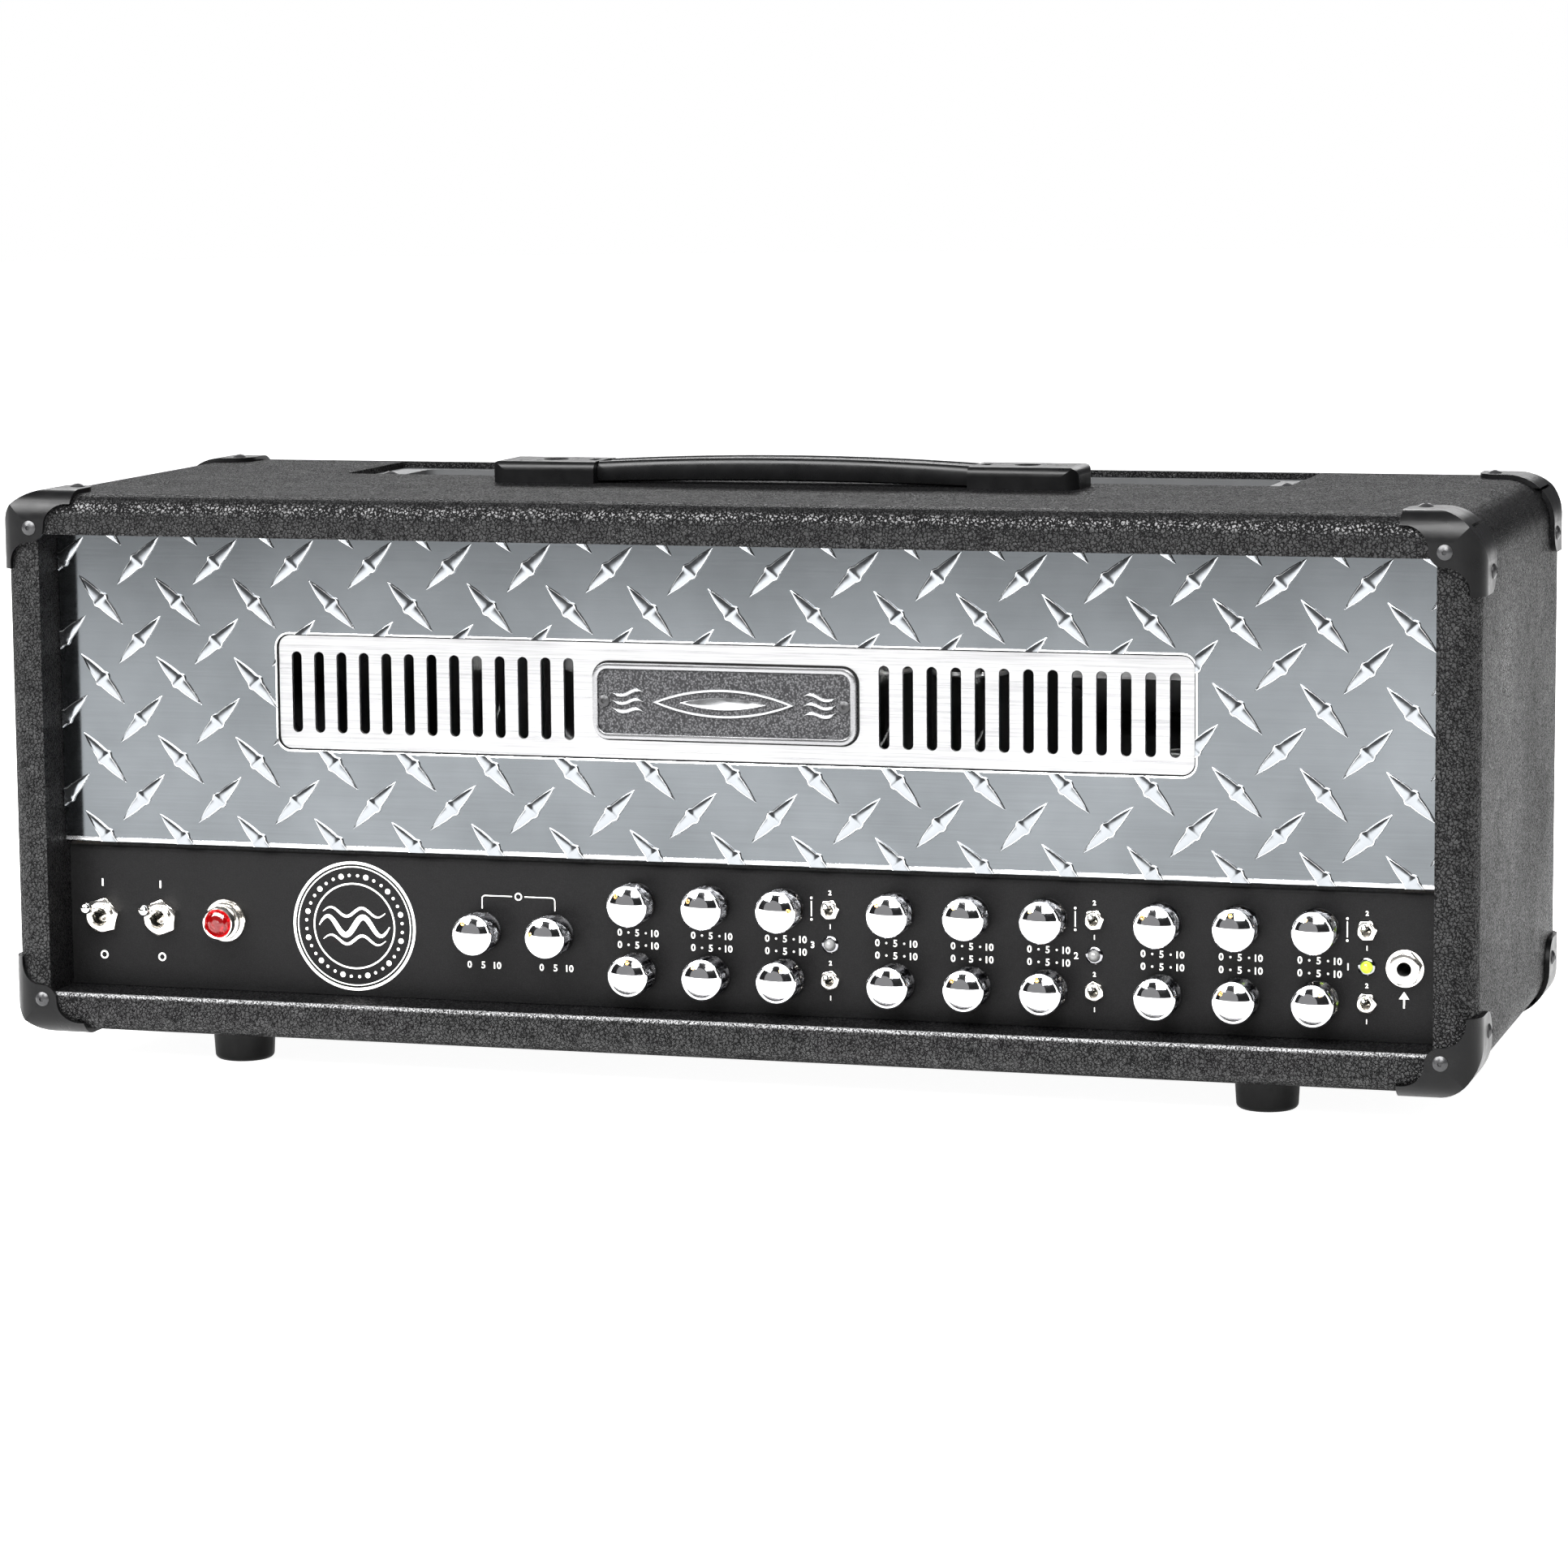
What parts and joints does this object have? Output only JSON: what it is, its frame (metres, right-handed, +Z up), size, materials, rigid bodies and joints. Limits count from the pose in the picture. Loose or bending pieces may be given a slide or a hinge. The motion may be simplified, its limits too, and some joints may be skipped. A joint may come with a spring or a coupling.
{
  "type": "guitar amplifier head",
  "caption": "Valve guitar amplifier head: covered cabinet, tread-plate grille with a slotted window, knobs, toggles and lamps on a black panel, corner protectors, carrying handle.",
  "frame": {"origin": "floor level under the middle of the cabinet", "axes": "+X to the right seen from the front, +Y to the back, +Z up; the control panel faces -Y"},
  "size_m": [0.6828, 0.2482, 0.276],
  "materials": {
    "covering": "coarse pebbled black vinyl over plywood",
    "cleat_wood": "raw softwood",
    "tread_plate": "satin, with raised polished lozenges",
    "brushed_plate": "fine horizontal brushing",
    "badge_metal": "cast: brushed rim, dark pebbled field",
    "chassis_metal": "plated sheet",
    "panel_black": "fine satin black with white print",
    "grille_black": "satin black",
    "tray_metal": "smooth grey",
    "strap_vinyl": "smooth black vinyl",
    "moulded_black": "satin black",
    "screw_black": "black oxide",
    "foot_rubber": "smooth rubber",
    "transformer_black": "black lacquer over laminations",
    "tube_glass": "clear bulb on a dark base",
    "shield_metal": "drawn, satin",
    "socket_brown": "moulded",
    "board_green": "solder mask",
    "pot_metal": "pressed can",
    "nickel": "bright nickel",
    "inlet_plastic": "moulded",
    "lamp_glass": "faceted red jewel; small clear lamps",
    "knob_chrome": "polished dome, diamond-knurled side",
    "lever_chrome": "polished"
  },
  "bodies": {
    "cabinet": {"cabinet_top": "covering", "cabinet_bottom": "covering", "cabinet_left_side": "covering", "cabinet_right_side": "covering", "grille_cleats": "cleat_wood", "diamond_plate": "tread_plate", "vent_plate": "brushed_plate", "name_badge": "badge_metal", "chassis": "chassis_metal", "control_panel": "panel_black", "rear_grille": "grille_black", "top_vent_tray": "tray_metal", "handle_strap": "strap_vinyl", "handle_end_caps": "moulded_black", "corner_protectors": "moulded_black", "cabinet_screws": "screw_black", "feet": "foot_rubber", "power_transformer": "transformer_black", "output_transformer": "transformer_black", "choke": "transformer_black", "power_tubes": "tube_glass", "rectifier_tubes": "tube_glass", "preamp_tubes": "shield_metal", "tube_sockets": "socket_brown", "circuit_board": "board_green", "potentiometers": "pot_metal", "toggle_switches": "nickel", "jacks": "nickel", "mains_inlet": "inlet_plastic", "panel_nuts": "nickel", "lamp_bezels": "nickel", "lamp_lenses": "lamp_glass"},
    "knob_solo": {"knob_solo": "knob_chrome"},
    "knob_output": {"knob_output": "knob_chrome"},
    "knob_presence_1": {"knob_presence_1": "knob_chrome"},
    "knob_master_1": {"knob_master_1": "knob_chrome"},
    "knob_gain_1": {"knob_gain_1": "knob_chrome"},
    "knob_presence_2": {"knob_presence_2": "knob_chrome"},
    "knob_master_2": {"knob_master_2": "knob_chrome"},
    "knob_gain_2": {"knob_gain_2": "knob_chrome"},
    "knob_presence_3": {"knob_presence_3": "knob_chrome"},
    "knob_master_3": {"knob_master_3": "knob_chrome"},
    "knob_gain_3": {"knob_gain_3": "knob_chrome"},
    "knob_bass_1": {"knob_bass_1": "knob_chrome"},
    "knob_mid_1": {"knob_mid_1": "knob_chrome"},
    "knob_treble_1": {"knob_treble_1": "knob_chrome"},
    "knob_bass_2": {"knob_bass_2": "knob_chrome"},
    "knob_mid_2": {"knob_mid_2": "knob_chrome"},
    "knob_treble_2": {"knob_treble_2": "knob_chrome"},
    "knob_bass_3": {"knob_bass_3": "knob_chrome"},
    "knob_mid_3": {"knob_mid_3": "knob_chrome"},
    "knob_treble_3": {"knob_treble_3": "knob_chrome"},
    "toggle_watts_1": {"toggle_watts_1": "lever_chrome"},
    "toggle_voice_1": {"toggle_voice_1": "lever_chrome"},
    "toggle_watts_2": {"toggle_watts_2": "lever_chrome"},
    "toggle_voice_2": {"toggle_voice_2": "lever_chrome"},
    "toggle_watts_3": {"toggle_watts_3": "lever_chrome"},
    "toggle_voice_3": {"toggle_voice_3": "lever_chrome"},
    "toggle_power": {"toggle_power": "lever_chrome"},
    "toggle_standby": {"toggle_standby": "lever_chrome"}
  },
  "joints": [
    {"name": "turn_solo", "type": "hinge", "parent": "cabinet", "child": "knob_solo", "pos_m": [-0.1167, -0.09675, 0.06688], "axis": [0, 1, 0], "range_deg": [-116, 184]},
    {"name": "turn_output", "type": "hinge", "parent": "cabinet", "child": "knob_output", "pos_m": [-0.0821, -0.09675, 0.06688], "axis": [0, 1, 0], "range_deg": [-75, 225]},
    {"name": "turn_presence_1", "type": "hinge", "parent": "cabinet", "child": "knob_presence_1", "pos_m": [0.1971, -0.09675, 0.08275], "axis": [0, 1, 0], "range_deg": [-100, 200]},
    {"name": "turn_master_1", "type": "hinge", "parent": "cabinet", "child": "knob_master_1", "pos_m": [0.2317, -0.09675, 0.08275], "axis": [0, 1, 0], "range_deg": [-142, 158]},
    {"name": "turn_gain_1", "type": "hinge", "parent": "cabinet", "child": "knob_gain_1", "pos_m": [0.2663, -0.09675, 0.08275], "axis": [0, 1, 0], "range_deg": [-124, 176]},
    {"name": "turn_presence_2", "type": "hinge", "parent": "cabinet", "child": "knob_presence_2", "pos_m": [0.077, -0.09675, 0.08275], "axis": [0, 1, 0], "range_deg": [-113, 187]},
    {"name": "turn_master_2", "type": "hinge", "parent": "cabinet", "child": "knob_master_2", "pos_m": [0.1116, -0.09675, 0.08275], "axis": [0, 1, 0], "range_deg": [-116, 184]},
    {"name": "turn_gain_2", "type": "hinge", "parent": "cabinet", "child": "knob_gain_2", "pos_m": [0.1462, -0.09675, 0.08275], "axis": [0, 1, 0], "range_deg": [-113, 187]},
    {"name": "turn_presence_3", "type": "hinge", "parent": "cabinet", "child": "knob_presence_3", "pos_m": [-0.0431, -0.09675, 0.08275], "axis": [0, 1, 0], "range_deg": [-105, 195]},
    {"name": "turn_master_3", "type": "hinge", "parent": "cabinet", "child": "knob_master_3", "pos_m": [-0.0085, -0.09675, 0.08275], "axis": [0, 1, 0], "range_deg": [-95, 205]},
    {"name": "turn_gain_3", "type": "hinge", "parent": "cabinet", "child": "knob_gain_3", "pos_m": [0.0261, -0.09675, 0.08275], "axis": [0, 1, 0], "range_deg": [-230, 70]},
    {"name": "turn_bass_1", "type": "hinge", "parent": "cabinet", "child": "knob_bass_1", "pos_m": [0.1971, -0.09675, 0.051], "axis": [0, 1, 0], "range_deg": [-170, 130]},
    {"name": "turn_mid_1", "type": "hinge", "parent": "cabinet", "child": "knob_mid_1", "pos_m": [0.2317, -0.09675, 0.051], "axis": [0, 1, 0], "range_deg": [-99, 201]},
    {"name": "turn_treble_1", "type": "hinge", "parent": "cabinet", "child": "knob_treble_1", "pos_m": [0.2663, -0.09675, 0.051], "axis": [0, 1, 0], "range_deg": [-183, 117]},
    {"name": "turn_bass_2", "type": "hinge", "parent": "cabinet", "child": "knob_bass_2", "pos_m": [0.077, -0.09675, 0.051], "axis": [0, 1, 0], "range_deg": [-176, 124]},
    {"name": "turn_mid_2", "type": "hinge", "parent": "cabinet", "child": "knob_mid_2", "pos_m": [0.1116, -0.09675, 0.051], "axis": [0, 1, 0], "range_deg": [-106, 194]},
    {"name": "turn_treble_2", "type": "hinge", "parent": "cabinet", "child": "knob_treble_2", "pos_m": [0.1462, -0.09675, 0.051], "axis": [0, 1, 0], "range_deg": [-141, 159]},
    {"name": "turn_bass_3", "type": "hinge", "parent": "cabinet", "child": "knob_bass_3", "pos_m": [-0.0431, -0.09675, 0.051], "axis": [0, 1, 0], "range_deg": [-153, 147]},
    {"name": "turn_mid_3", "type": "hinge", "parent": "cabinet", "child": "knob_mid_3", "pos_m": [-0.0085, -0.09675, 0.051], "axis": [0, 1, 0], "range_deg": [-120, 180]},
    {"name": "turn_treble_3", "type": "hinge", "parent": "cabinet", "child": "knob_treble_3", "pos_m": [0.0261, -0.09675, 0.051], "axis": [0, 1, 0], "range_deg": [-176, 124]},
    {"name": "flip_power", "type": "hinge", "parent": "cabinet", "child": "toggle_power", "pos_m": [-0.3035, -0.09575, 0.06688], "axis": [1, 0, 0], "range_deg": [0, 34]},
    {"name": "flip_standby", "type": "hinge", "parent": "cabinet", "child": "toggle_standby", "pos_m": [-0.2745, -0.09575, 0.06688], "axis": [1, 0, 0], "range_deg": [0, 34]},
    {"name": "flip_watts_1", "type": "hinge", "parent": "cabinet", "child": "toggle_watts_1", "pos_m": [0.2873, -0.09575, 0.051], "axis": [1, 0, 0], "range_deg": [0, 30]},
    {"name": "flip_voice_1", "type": "hinge", "parent": "cabinet", "child": "toggle_voice_1", "pos_m": [0.2873, -0.09575, 0.08275], "axis": [1, 0, 0], "range_deg": [0, 30]},
    {"name": "flip_watts_2", "type": "hinge", "parent": "cabinet", "child": "toggle_watts_2", "pos_m": [0.1672, -0.09575, 0.051], "axis": [1, 0, 0], "range_deg": [0, 30]},
    {"name": "flip_voice_2", "type": "hinge", "parent": "cabinet", "child": "toggle_voice_2", "pos_m": [0.1672, -0.09575, 0.08275], "axis": [1, 0, 0], "range_deg": [0, 30]},
    {"name": "flip_watts_3", "type": "hinge", "parent": "cabinet", "child": "toggle_watts_3", "pos_m": [0.0471, -0.09575, 0.051], "axis": [1, 0, 0], "range_deg": [0, 30]},
    {"name": "flip_voice_3", "type": "hinge", "parent": "cabinet", "child": "toggle_voice_3", "pos_m": [0.0471, -0.09575, 0.08275], "axis": [1, 0, 0], "range_deg": [0, 30]}
  ]
}
